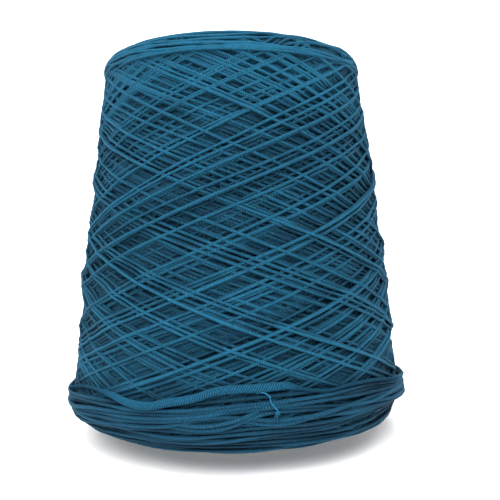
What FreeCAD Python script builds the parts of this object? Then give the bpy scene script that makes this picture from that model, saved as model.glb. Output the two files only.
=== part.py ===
import FreeCAD, Part
import math
import os

import Sketcher
from FreeCAD import Placement, Rotation, Vector

# Cross-wound cone of plied cotton yarn on a standard paper cone.
#
# Millimetres. The axis is Z, the floor is Z = 0 under the paper cone's base rim,
# and the thread's finishing strand faces -Y. One thread makes the whole winding;
# each winding stage below is the shell that one part of that thread fills, so that
# a part-used cone is the same model with its outer stages left out.

SHEET = "sizes"
STAGE_COUNT = 5
START_TURNS = 3
INNER_WRAPS = 7
OUTER_WRAPS = 5
LEAN_AXIS = Vector(0, -1, 0)

SIZES = [
    ("core_length", 170.0, "paper cone, base rim to nose"),
    ("core_base_diameter", 69.0, "paper cone, outside of the base rim"),
    ("half_angle", 5.95, "taper of the paper cone's side to its axis, degrees (5 deg 57 min)"),
    ("core_wall", 1.8, "paper cone, wall"),
    ("curl_depth", 12.0, "depth that the curled-in nose reaches down the inside"),
    ("base_margin", 9.0, "bare core below the winding, along its side"),
    ("nose_margin", 9.0, "bare core above the winding, along its side"),
    ("stage_thickness", 7.4, "build-up of one winding stage, square to the side"),
    ("side_crown", 1.2, "how far the soft outer side swells at half height"),
    ("nose_edge_radius", 6.0, "rounding where the thread turns back at the nose end"),
    ("base_edge_radius", 2.5, "rounding where the thread turns back at the base end"),
    ("yarn_diameter", 1.8, "the thread, lying relaxed"),
    ("wrap_clearance", 0.12, "room between one wrap and what it lies on"),
    ("wrap_lift", 1.6, "side length between the base edge and the lowest slack wrap"),
    ("wrap_tilt", 1.2, "lean of the slack wraps, lower towards -X, degrees"),
    ("finish_diameter", 3.4, "finishing strand, the thread doubled back and twisted"),
    ("finish_sweep", 168.0, "how far round the finishing strand runs, degrees"),
]

doc = FreeCAD.newDocument("yarn_cone")
sheet = doc.addObject("Spreadsheet::Sheet", SHEET)
sheet.set("A1", "name")
sheet.set("B1", "value")
sheet.set("C1", "what it is")
for row, (alias, value, note) in enumerate(SIZES, start=2):
    sheet.set(f"A{row}", alias)
    sheet.set(f"B{row}", str(value))
    sheet.set(f"C{row}", note)
    sheet.setAlias(f"B{row}", alias)
doc.recompute()


# ---------------------------------------------------------------- expressions

def size(alias):
    """The expression that reads one driving dimension."""
    return f"{SHEET}.{alias}"


def read(expression):
    """The value of an expression over the sheet, as a plain number."""
    value = sheet.evalExpression(expression)
    return float(getattr(value, "Value", value))


COS = f"cos({size('half_angle')})"
SIN = f"sin({size('half_angle')})"
TAN = f"tan({size('half_angle')})"

WINDING_START = size("base_margin")
WINDING_END = f"({size('core_length')} / {COS} - {size('nose_margin')})"
TRAVERSE = f"({WINDING_END} - {WINDING_START})"
FULL_BUILD = f"({STAGE_COUNT} * {size('stage_thickness')})"

CORE_BASE_RADIUS = f"{size('core_base_diameter')} / 2"
CURL_HEIGHT = f"{size('core_length')} - {size('core_wall')}"
CURL_RADIUS = f"{CORE_BASE_RADIUS} - ({CURL_HEIGHT}) * {TAN} - {size('core_wall')}"
NOSE_BORE_RADIUS = f"{CURL_RADIUS} - {size('core_wall')}"


def on_cone(along, out):
    """Radius and height of a point of the package's section.

    along is measured up the paper cone's side from its base rim, and out square
    to that side, so a line of constant out is parallel to the paper cone.
    """
    radius = f"{size('core_base_diameter')} / 2 - ({along}) * {SIN} + ({out}) * {COS}"
    height = f"({along}) * {COS} + ({out}) * {SIN}"
    return radius, height


def crown_at(along):
    """How far the crowned outer side stands beyond the straight one."""
    share = f"((({along}) - {WINDING_START}) / {TRAVERSE})"
    return f"(4 * {size('side_crown')} * {share} * (1 - {share}))"


# ------------------------------------------------------------------- helpers

def origin_part(body, role):
    """The plane or axis of a body's own origin that has this role."""
    for feature in body.Origin.OriginFeatures:
        if feature.Role == role:
            return feature
    raise RuntimeError(f"{body.Label} has no {role}")


def section_sketch(body, name):
    """A sketch in the body's XZ plane: x is the radius and y the height."""
    sketch = body.newObject("Sketcher::SketchObject", name)
    sketch.AttachmentSupport = [(origin_part(body, "XZ_Plane"), "")]
    sketch.MapMode = "FlatFace"
    return sketch


def pin_point(sketch, geometry, vertex, radius, height, name):
    """Ties one point of a sketch to expressions for its radius and height."""
    across = sketch.addConstraint(
        Sketcher.Constraint("DistanceX", -1, 1, geometry, vertex, read(radius)))
    sketch.renameConstraint(across, f"{name}_radius")
    sketch.setExpression(f"Constraints.{name}_radius", radius)
    if height == "0":
        sketch.addConstraint(Sketcher.Constraint("PointOnObject", geometry, vertex, -1))
        return
    up = sketch.addConstraint(
        Sketcher.Constraint("DistanceY", -1, 1, geometry, vertex, read(height)))
    sketch.renameConstraint(up, f"{name}_height")
    sketch.setExpression(f"Constraints.{name}_height", height)


def set_radius(sketch, geometry, radius, name):
    """Ties an arc's radius to an expression."""
    index = sketch.addConstraint(Sketcher.Constraint("Radius", geometry, read(radius)))
    sketch.renameConstraint(index, name)
    sketch.setExpression(f"Constraints.{name}", radius)


def join_ring(sketch, ends):
    """Makes each stretch of an outline start where the one before it ends."""
    for (geometry, _, last), (following, first, _) in zip(ends, ends[1:] + ends[:1]):
        sketch.addConstraint(Sketcher.Constraint("Coincident", geometry, last, following, first))


def point(radius, height):
    """A sketch point at the present value of two expressions."""
    return Vector(read(radius), 0.0 if height == "0" else read(height), 0)


def revolve(body, sketch):
    """Turns the section once round the body's axis."""
    turned = body.newObject("PartDesign::Revolution", f"{body.Name}_turn")
    turned.Profile = sketch
    turned.ReferenceAxis = (sketch, ["V_Axis"])
    turned.Angle = 360.0
    return turned


def ring(label, radius, tube_radius, height, lean=True):
    """One turn of thread lying round the package."""
    turn = doc.addObject("Part::Torus", label)
    turn.Label = label
    turn.setExpression("Radius1", radius)
    turn.setExpression("Radius2", tube_radius)
    if lean:
        turn.Placement = Placement(Vector(0, 0, 0), Rotation(LEAN_AXIS, 1.0))
        turn.setExpression("Placement.Rotation.Angle", size("wrap_tilt"))
    turn.setExpression("Placement.Base.z", height)
    return turn


# ---------------------------------------------------------------- paper cone

def paper_core():
    """Wound kraft board cone: plain cut base, nose curled in over itself."""
    body = doc.addObject("PartDesign::Body", "paper_core")
    body.Label = "paper_core"
    sketch = section_sketch(body, "paper_core_section")

    inner_base_radius = f"{CORE_BASE_RADIUS} - {size('core_wall')} / {COS}"
    land_foot = f"{size('core_length')} - {size('curl_depth')}"
    inside_at_foot = f"{inner_base_radius} - ({land_foot}) * {TAN}"

    outer_base = point(CORE_BASE_RADIUS, "0")
    inner_base = point(inner_base_radius, "0")
    curl_centre = point(CURL_RADIUS, CURL_HEIGHT)
    wall = read(size("core_wall"))
    nose_outside = curl_centre + Vector(wall, 0, 0)
    nose_inside = curl_centre - Vector(wall, 0, 0)
    foot = point(NOSE_BORE_RADIUS, land_foot)
    step = point(inside_at_foot, land_foot)

    side = sketch.addGeometry(Part.LineSegment(outer_base, nose_outside), False)
    curl = sketch.addGeometry(
        Part.ArcOfCircle(Part.Circle(curl_centre, Vector(0, 0, 1), wall), 0, math.pi), False)
    land = sketch.addGeometry(Part.LineSegment(nose_inside, foot), False)
    ledge = sketch.addGeometry(Part.LineSegment(foot, step), False)
    inside = sketch.addGeometry(Part.LineSegment(step, inner_base), False)
    rim = sketch.addGeometry(Part.LineSegment(inner_base, outer_base), False)

    join_ring(sketch, [(side, 1, 2), (curl, 1, 2), (land, 1, 2),
                       (ledge, 1, 2), (inside, 1, 2), (rim, 1, 2)])
    pin_point(sketch, side, 1, CORE_BASE_RADIUS, "0", "outer_base")
    pin_point(sketch, rim, 1, inner_base_radius, "0", "inner_base")
    pin_point(sketch, curl, 3, CURL_RADIUS, CURL_HEIGHT, "curl_centre")
    set_radius(sketch, curl, size("core_wall"), "curl_round")
    sketch.addConstraint(Sketcher.Constraint("Horizontal", curl, 3, curl, 1))
    sketch.addConstraint(Sketcher.Constraint("Horizontal", curl, 3, curl, 2))
    pin_point(sketch, land, 2, NOSE_BORE_RADIUS, land_foot, "land_foot")
    pin_point(sketch, ledge, 2, inside_at_foot, land_foot, "ledge_end")
    revolve(body, sketch)
    return body


# ------------------------------------------------------------ winding stages

def winding_stage(number):
    """One shell of the cross winding, from the paper cone outwards.

    Its ends are square to the paper cone's side, as the winder's guide leaves
    them. The last stage has the package's crowned side and its rounded edges.
    """
    label = f"winding_stage_{number}"
    body = doc.addObject("PartDesign::Body", label)
    body.Label = label
    sketch = section_sketch(body, f"{label}_section")

    inner = f"{number - 1} * {size('stage_thickness')}"
    outer = f"{number} * {size('stage_thickness')}"
    corners = [
        ("inner_base", on_cone(WINDING_START, inner)),
        ("outer_base", on_cone(WINDING_START, outer)),
        ("outer_nose", on_cone(WINDING_END, outer)),
        ("inner_nose", on_cone(WINDING_END, inner)),
    ]
    spots = [point(*place) for _, place in corners]
    outermost = number == STAGE_COUNT

    base_face = sketch.addGeometry(Part.LineSegment(spots[0], spots[1]), False)
    if outermost:
        swell = point(*on_cone(f"({WINDING_START} + {TRAVERSE} / 2)",
                               f"({outer} + {size('side_crown')})"))
        side = sketch.addGeometry(Part.Arc(spots[1], swell, spots[2]), False)
    else:
        side = sketch.addGeometry(Part.LineSegment(spots[1], spots[2]), False)
    nose_face = sketch.addGeometry(Part.LineSegment(spots[2], spots[3]), False)
    inside = sketch.addGeometry(Part.LineSegment(spots[3], spots[0]), False)

    join_ring(sketch, [(base_face, 1, 2), (side, 1, 2), (nose_face, 1, 2), (inside, 1, 2)])
    for geometry, (name, place) in zip((base_face, base_face, nose_face, nose_face), corners):
        vertex = 1 if name in ("inner_base", "outer_nose") else 2
        pin_point(sketch, geometry, vertex, *place, name)
    if outermost:
        crown = size("side_crown")
        set_radius(sketch, side, f"{TRAVERSE}^2 / (8 * {crown}) + {crown} / 2", "side_radius")
    turned = revolve(body, sketch)
    if outermost:
        doc.recompute()
        round_edge(body, turned, on_cone(WINDING_END, outer), "nose_edge_radius")
        doc.recompute()
        round_edge(body, body.Tip, on_cone(WINDING_START, outer), "base_edge_radius")
    return body


def round_edge(body, base, place, alias):
    """Rounds the circular edge at this radius and height of the section."""
    radius, height = read(place[0]), read(place[1])
    near = []
    for index, edge in enumerate(base.Shape.Edges, start=1):
        curve = edge.Curve
        if isinstance(curve, Part.Circle) and abs(curve.Center.z - height) < 0.01 \
                and abs(curve.Radius - radius) < 0.01:
            near.append(f"Edge{index}")
    if not near:
        raise RuntimeError(f"{body.Label} has no edge to round for {alias}")
    fillet = body.newObject("PartDesign::Fillet", f"{body.Name}_{alias}")
    fillet.Base = (base, near)
    fillet.setExpression("Radius", f"min({size(alias)}; 0.8 * {size('stage_thickness')})")
    body.Tip = fillet


# -------------------------------------------------------------- thread turns

def start_turns():
    """The first turns, which grip the bare core below the winding."""
    turns = []
    pitch = f"({size('yarn_diameter')} + {size('wrap_clearance')})"
    reach = f"({size('yarn_diameter')} / 2 + {size('wrap_clearance')})"
    for index in range(START_TURNS):
        along = f"({WINDING_START} - {reach} - {index} * {pitch})"
        radius, height = on_cone(along, reach)
        turns.append(ring(f"start_turn_{index + 1}", radius,
                          f"{size('yarn_diameter')} / 2", height, lean=False))
    group = doc.addObject("Part::Compound", "start_turns")
    group.Label = "start_turns"
    group.Links = turns
    return group


def slack_wraps():
    """The last turns, wound slack round the base, some lying on the others."""
    wraps = []
    pitch = f"({size('yarn_diameter')} + 2 * {size('wrap_clearance')})"
    radius_of_yarn = f"{size('yarn_diameter')} / 2"
    first = (f"({WINDING_START} + {size('base_edge_radius')} + {size('wrap_lift')}"
             f" + {radius_of_yarn})")
    lying = f"({radius_of_yarn} + 3 * {size('wrap_clearance')})"
    for index in range(INNER_WRAPS):
        along = f"({first} + {index} * {pitch})"
        out = f"({FULL_BUILD} + {crown_at(along)} + {lying})"
        radius, height = on_cone(along, out)
        wraps.append(ring(f"slack_wrap_{index + 1:02d}", radius, radius_of_yarn, height))
    for index in range(OUTER_WRAPS):
        along = f"({first} + ({index} + 0.5) * {pitch})"
        nested = f"(sqrt(({size('yarn_diameter')} + {size('wrap_clearance')})^2 - ({pitch} / 2)^2))"
        out = f"({FULL_BUILD} + {crown_at(along)} + {lying} + {nested} + {size('wrap_clearance')})"
        radius, height = on_cone(along, out)
        wraps.append(ring(f"slack_wrap_{INNER_WRAPS + index + 1:02d}", radius,
                          radius_of_yarn, height))
    return wraps, first, pitch


def finishing_strand(first, pitch):
    """The thread's outer end, doubled and twisted, laid over the front."""
    half = f"{size('finish_diameter')} / 2"
    along = (f"({first} + {INNER_WRAPS - 1} * {pitch} + {size('yarn_diameter')} / 2 + {half}"
             f" + 3 * {size('wrap_clearance')})")
    out = f"({FULL_BUILD} + {crown_at(along)} + {half} + 3 * {size('wrap_clearance')})"
    radius, height = on_cone(along, out)
    strand = doc.addObject("Part::Torus", "finishing_strand")
    strand.Label = "finishing_strand"
    strand.setExpression("Radius1", radius)
    strand.setExpression("Radius2", half)
    strand.setExpression("Angle3", size("finish_sweep"))
    # The sweep is centred on -Y, then leans with the wraps below it.
    facing = Rotation(Vector(0, 0, 1), -90 - read(size("finish_sweep")) / 2)
    leaning = Rotation(LEAN_AXIS, read(size("wrap_tilt")))
    strand.Placement = Placement(Vector(0, 0, 0), leaning.multiply(facing))
    strand.setExpression("Placement.Base.z", height)
    return strand


# --------------------------------------------------------------------- build

pieces = [paper_core()]
pieces += [winding_stage(number) for number in range(1, STAGE_COUNT + 1)]
pieces.append(start_turns())
wraps, first_wrap, wrap_pitch = slack_wraps()
pieces += wraps
pieces.append(finishing_strand(first_wrap, wrap_pitch))
doc.recompute()

for item in doc.Objects:
    if "Invalid" in item.State or "Error" in item.State:
        raise RuntimeError(f"{item.Label} failed: {item.State}")
for piece in pieces:
    if piece.Shape.isNull() or not piece.Shape.isValid() or not piece.Shape.Solids:
        raise RuntimeError(f"{piece.Label} has no valid solid")

os.makedirs("parts", exist_ok=True)
for piece in pieces:
    piece.Shape.exportStep(f"parts/{piece.Label}.step")
    box = piece.Shape.BoundBox
    print(f"{piece.Label:20s} {piece.Shape.Volume / 1000:9.3f} cm3  "
          f"z {box.ZMin:7.2f} to {box.ZMax:7.2f}  across {box.XLength:7.2f}")
print(f"nose bore radius {read(NOSE_BORE_RADIUS):.3f}")
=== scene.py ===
"""A cone of cross-wound cotton yarn, dressed around its CAD frame.

Everything is in metres in the frame, but the yarn is worked out in millimetres:
every name that ends in _mm is one, and MM turns it to metres.
"""

import logging
import math
from dataclasses import dataclass, field
from enum import Enum
from typing import Iterable, Sequence

import bpy
import numpy as np
from mathutils import Matrix, Vector


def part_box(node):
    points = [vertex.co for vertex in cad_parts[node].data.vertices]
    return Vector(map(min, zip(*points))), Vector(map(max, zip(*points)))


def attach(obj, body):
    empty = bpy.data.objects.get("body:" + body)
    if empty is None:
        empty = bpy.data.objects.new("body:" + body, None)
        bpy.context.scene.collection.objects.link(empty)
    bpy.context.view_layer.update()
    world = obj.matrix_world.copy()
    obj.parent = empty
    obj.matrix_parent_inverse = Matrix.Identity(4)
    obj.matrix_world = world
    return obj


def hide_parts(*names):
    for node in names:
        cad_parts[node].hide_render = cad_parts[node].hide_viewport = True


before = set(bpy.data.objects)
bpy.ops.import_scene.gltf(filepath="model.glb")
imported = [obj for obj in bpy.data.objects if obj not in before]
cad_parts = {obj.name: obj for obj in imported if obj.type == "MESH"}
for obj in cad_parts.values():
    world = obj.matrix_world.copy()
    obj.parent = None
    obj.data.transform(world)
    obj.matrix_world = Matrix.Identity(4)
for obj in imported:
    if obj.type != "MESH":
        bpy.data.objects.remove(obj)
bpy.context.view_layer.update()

MM = 0.001
TURN = 2.0 * math.pi
BODY = "root"
LAY_MAP = "yarn_lay"
BAKE_MAP = "OFBake"
STAGE_NODES = tuple(f"winding_stage_{number}" for number in range(1, 6))

log = logging.getLogger("yarn_cone")
Array = np.ndarray


# --------------------------------------------------------------------- colour

def linear(hex_colour: str) -> tuple[float, float, float, float]:
    """Turns an sRGB hex colour to the linear one that a shader takes.

    Args:
        hex_colour: Six hex digits, with or without a leading hash.

    Returns:
        Linear red, green, blue and an alpha of one.
    """
    digits = hex_colour.lstrip("#")
    parts = [int(digits[i:i + 2], 16) / 255 for i in (0, 2, 4)]
    values = [p / 12.92 if p <= 0.04045 else ((p + 0.055) / 1.055) ** 2.4 for p in parts]
    return (values[0], values[1], values[2], 1.0)


def set_inputs(node: bpy.types.Node, values: dict) -> None:
    """Sets a node's input values by socket name or index."""
    for name, value in values.items():
        node.inputs[name].default_value = value


def add_object(name: str, data: bpy.types.ID) -> bpy.types.Object:
    """Links a new object that shows this data into the scene."""
    thing = bpy.data.objects.new(name, data)
    bpy.context.scene.collection.objects.link(thing)
    return thing


def add_node(tree: bpy.types.NodeTree, kind: str, settings: dict | None = None,
             values: dict | None = None, links: dict | None = None) -> bpy.types.Node:
    """Adds one node with its settings, its sockets' values and its links.

    Args:
        tree: The node tree that it goes into.
        kind: The node's type, such as "ShaderNodeMath".
        settings: The node's own properties by name.
        values: Input values by socket name or index.
        links: Output sockets to read, by input socket name or index.

    Returns:
        The new node.
    """
    node = tree.nodes.new(kind)
    for name, value in (settings or {}).items():
        setattr(node, name, value)
    set_inputs(node, values or {})
    for name, source in (links or {}).items():
        tree.links.new(source, node.inputs[name])
    return node


def new_material(name: str) -> tuple[bpy.types.Material, bpy.types.NodeTree, bpy.types.Node]:
    """Makes a material that holds one surface shader.

    Args:
        name: The material's name.

    Returns:
        The material, its node tree and its surface shader.
    """
    material = bpy.data.materials.new(name)
    material.use_nodes = True
    tree = material.node_tree
    tree.nodes.clear()
    surface = add_node(tree, "ShaderNodeBsdfPrincipled")
    add_node(tree, "ShaderNodeOutputMaterial", links={"Surface": surface.outputs["BSDF"]})
    return material, tree, surface


# ------------------------------------------------------------------- finishes

@dataclass(frozen=True)
class PliedCotton:
    """Plied cotton yarn, ring spun and piece dyed: soft, matt, with its plies showing.

    The plies give fine slanting lines along each thread, the dye sits a little
    unevenly, and light that falls between the threads is soon lost, which the colour
    shows as painted shade: darker in the ply grooves, and darker towards a near-black
    where a thread lies deep or turns its flank away.
    """
    name: str
    body_hex: str = "#1C5F7D"
    # Painted shade: the colour given to the creases between the plies.
    groove_shade_hex: str = "#082A42"
    shade_hex: str = "#165169"
    # Painted shade: the near-black that a thread's colour is mixed towards where little light reaches it.
    deep_shade_hex: str = "#020F1C"
    plies: int = 3
    ply_pitch_mm: float = 2.7       # one full turn of a ply along the thread
    # How much of that painted groove shade shows.
    groove_shade_show: float = 0.75          # how much of the grooves' dark shows
    ply_depth_mm: float = 0.13
    fibre_mm: float = 0.30          # drawn coarser than a 0.015 mm cotton fibre, so that it shows
    fibre_depth_mm: float = 0.09
    fibre_tones: tuple[float, float] = (0.66, 1.32)     # the darkest and the lightest fibre
    patches_per_m: float = 55.0     # uneven dye, in patches of about 18 mm
    roughness: float = 0.88
    specular: float = 0.12          # loose fibre ends break up the gloss
    sheen: float = 0.10
    sheen_roughness: float = 0.45
    sheen_hex: str = "#5FB4DC"

    def make(self) -> bpy.types.Material:
        """Builds the material."""
        material, tree, surface = new_material(self.name)
        lay = add_node(tree, "ShaderNodeUVMap", {"uv_map": LAY_MAP})
        split = add_node(tree, "ShaderNodeSeparateXYZ", links={0: lay.outputs["UV"]})
        around, along = split.outputs["X"], split.outputs["Y"]
        # Ply phase: the lay map's X is once round the thread, Y is millimetres along it.
        turns = add_node(tree, "ShaderNodeMath", {"operation": "MULTIPLY_ADD"},
                         {1: 1.0 / self.ply_pitch_mm}, {0: along, 2: around})
        phase = add_node(tree, "ShaderNodeMath", {"operation": "MULTIPLY"},
                         {1: self.plies * math.pi}, {0: turns.outputs[0]})
        wave = add_node(tree, "ShaderNodeMath", {"operation": "SINE"}, links={0: phase.outputs[0]})
        ply = add_node(tree, "ShaderNodeMath", {"operation": "ABSOLUTE"}, links={0: wave.outputs[0]})
        # Fibres run with the plies, so their noise is long along the ply and short across it.
        fibre_place = add_node(tree, "ShaderNodeCombineXYZ",
                               links={0: phase.outputs[0], 1: along})
        fibre = add_node(tree, "ShaderNodeTexNoise", {"noise_dimensions": "2D"},
                         {"Scale": 1.0 / (self.fibre_mm * self.plies * 1.5), "Detail": 3.0,
                          "Roughness": 0.6}, {"Vector": fibre_place.outputs[0]})
        place = add_node(tree, "ShaderNodeTexCoord")
        patch = add_node(tree, "ShaderNodeTexNoise",
                         values={"Scale": self.patches_per_m, "Detail": 3.0},
                         links={"Vector": place.outputs["Object"]})
        tone = add_node(tree, "ShaderNodeAttribute", {"attribute_name": "tone"})
        depth = add_node(tree, "ShaderNodeAttribute", {"attribute_name": "depth"})

        # Painted shade in the ply grooves: the colour turns to the groove shade where the ply wave is
        # low.
        groove_shade_mask = add_node(tree, "ShaderNodeMapRange", {"interpolation_type": "SMOOTHSTEP"},
                          {"From Min": 0.05, "From Max": 0.75, "To Min": 0.0, "To Max": 1.0},
                          {"Value": ply.outputs[0]})
        mottled = add_node(tree, "ShaderNodeMix", {"data_type": "RGBA"},
                           {6: linear(self.shade_hex), 7: linear(self.body_hex)},
                           {0: patch.outputs["Fac"]})
        plied = add_node(tree, "ShaderNodeMix", {"data_type": "RGBA"},
                         {6: linear(self.groove_shade_hex)},
                         {0: groove_shade_mask.outputs[0], 7: mottled.outputs[2]})
        kept = add_node(tree, "ShaderNodeMix", {"data_type": "RGBA"}, {0: self.groove_shade_show},
                       {6: mottled.outputs[2], 7: plied.outputs[2]})
        darkest, lightest = self.fibre_tones
        fibre_tone = add_node(tree, "ShaderNodeMapRange",
                              values={"From Min": 0.3, "From Max": 0.7,
                                      "To Min": darkest, "To Max": lightest},
                              links={"Value": fibre.outputs["Fac"]})
        toned = add_node(tree, "ShaderNodeMath", {"operation": "MULTIPLY"},
                         links={0: tone.outputs["Fac"], 1: fibre_tone.outputs[0]})
        bright = add_node(tree, "ShaderNodeVectorMath", {"operation": "SCALE"},
                          links={0: kept.outputs[2], "Scale": toned.outputs[0]})
        # Painted shade: the "depth" attribute mixes the colour towards the deep shade where a thread lies
        # deep or turns its flank away.
        colour = add_node(tree, "ShaderNodeMix", {"data_type": "RGBA"}, {6: linear(self.deep_shade_hex)},
                          {0: depth.outputs["Fac"], 7: bright.outputs[0]})
        tree.links.new(colour.outputs[2], surface.inputs["Base Color"])

        raised = add_node(tree, "ShaderNodeBump", values={"Strength": 1.0,
                                                         "Distance": self.ply_depth_mm * MM},
                          links={"Height": ply.outputs[0]})
        fuzzy = add_node(tree, "ShaderNodeBump", values={"Strength": 1.0,
                                                        "Distance": self.fibre_depth_mm * MM},
                         links={"Height": fibre.outputs["Fac"], "Normal": raised.outputs[0]})
        tree.links.new(fuzzy.outputs[0], surface.inputs["Normal"])
        set_inputs(surface, {"Roughness": self.roughness, "Specular IOR Level": self.specular,
                             "Sheen Weight": self.sheen, "Sheen Roughness": self.sheen_roughness,
                             "Sheen Tint": linear(self.sheen_hex)})
        return material


@dataclass(frozen=True)
class KraftBoard:
    """Kraft paper wound and glued into a cone: matt tan board with faint spiral laps."""
    name: str = "kraft_board_wound"
    board_hex: str = "#B39B78"
    lap_hex: str = "#8A7352"
    fleck_hex: str = "#CDBB9C"
    lap_mm: float = 24.0
    lap_edge: float = 0.035         # the share of a lap over which its edge shows
    lap_depth_mm: float = 0.15
    fibre_mm: float = 0.5
    fibre_depth_mm: float = 0.04
    clouds_per_m: float = 60.0      # the pulp's cloudiness, in clouds of about 17 mm
    clouding: float = 0.35
    roughness: float = 0.9

    def make(self) -> bpy.types.Material:
        """Builds the material."""
        material, tree, surface = new_material(self.name)
        place = add_node(tree, "ShaderNodeTexCoord")
        split = add_node(tree, "ShaderNodeSeparateXYZ", links={0: place.outputs["Object"]})
        angle = add_node(tree, "ShaderNodeMath", {"operation": "ARCTAN2"},
                         links={0: split.outputs["Y"], 1: split.outputs["X"]})
        turns = add_node(tree, "ShaderNodeMath", {"operation": "MULTIPLY"}, {1: 1.0 / TURN},
                         {0: angle.outputs[0]})
        climb = add_node(tree, "ShaderNodeMath", {"operation": "MULTIPLY_ADD"},
                         {1: 1.0 / (self.lap_mm * MM)}, {0: split.outputs["Z"], 2: turns.outputs[0]})
        lap = add_node(tree, "ShaderNodeMath", {"operation": "FRACT"}, links={0: climb.outputs[0]})
        edge = add_node(tree, "ShaderNodeMapRange", {"interpolation_type": "SMOOTHSTEP"},
                        {"From Min": 0.0, "From Max": self.lap_edge, "To Min": 0.0, "To Max": 1.0},
                        {"Value": lap.outputs[0]})
        fibre = add_node(tree, "ShaderNodeTexNoise", values={"Scale": 1.0 / (self.fibre_mm * MM),
                                                             "Detail": 4.0, "Roughness": 0.65},
                         links={"Vector": place.outputs["Object"]})
        cloud = add_node(tree, "ShaderNodeTexNoise",
                         values={"Scale": self.clouds_per_m, "Detail": 2.0},
                         links={"Vector": place.outputs["Object"]})
        board = add_node(tree, "ShaderNodeMix", {"data_type": "RGBA"},
                         {6: linear(self.board_hex), 7: linear(self.fleck_hex)},
                         {0: fibre.outputs["Fac"]})
        clouded = add_node(tree, "ShaderNodeMix", {"data_type": "RGBA", "blend_type": "MULTIPLY"},
                           {0: self.clouding}, {6: board.outputs[2], 7: cloud.outputs["Color"]})
        lapped = add_node(tree, "ShaderNodeMix", {"data_type": "RGBA"}, {6: linear(self.lap_hex)},
                          {0: edge.outputs[0], 7: clouded.outputs[2]})
        tree.links.new(lapped.outputs[2], surface.inputs["Base Color"])
        laps = add_node(tree, "ShaderNodeBump",
                        values={"Strength": 1.0, "Distance": self.lap_depth_mm * MM},
                        links={"Height": edge.outputs[0]})
        grain = add_node(tree, "ShaderNodeBump",
                         values={"Strength": 1.0, "Distance": self.fibre_depth_mm * MM},
                         links={"Height": fibre.outputs["Fac"], "Normal": laps.outputs[0]})
        tree.links.new(grain.outputs[0], surface.inputs["Normal"])
        surface.inputs["Roughness"].default_value = self.roughness
        return material


@dataclass(frozen=True)
class PaintedGlowSheet:
    """Opal acrylic sheet, cast: white and even, with a painted glow, emission with no lamp behind it,
    that keeps the shadow on it pale.
    """
    name: str = "painted_glow_sheet"
    sheet_hex: str = "#FBFBFB"
    # Painted light: the sheet glows of itself, which lightens the shadow on it.
    painted_glow: float = 0.19
    roughness: float = 0.95

    def make(self) -> bpy.types.Material:
        """Builds the material."""
        material, _, surface = new_material(self.name)
        white = linear(self.sheet_hex)
        set_inputs(surface, {"Base Color": white, "Emission Color": white,
                             "Emission Strength": self.painted_glow, "Roughness": self.roughness,
                             "Specular IOR Level": 0.0})
        return material


# ------------------------------------------------------------ package's shape

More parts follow.
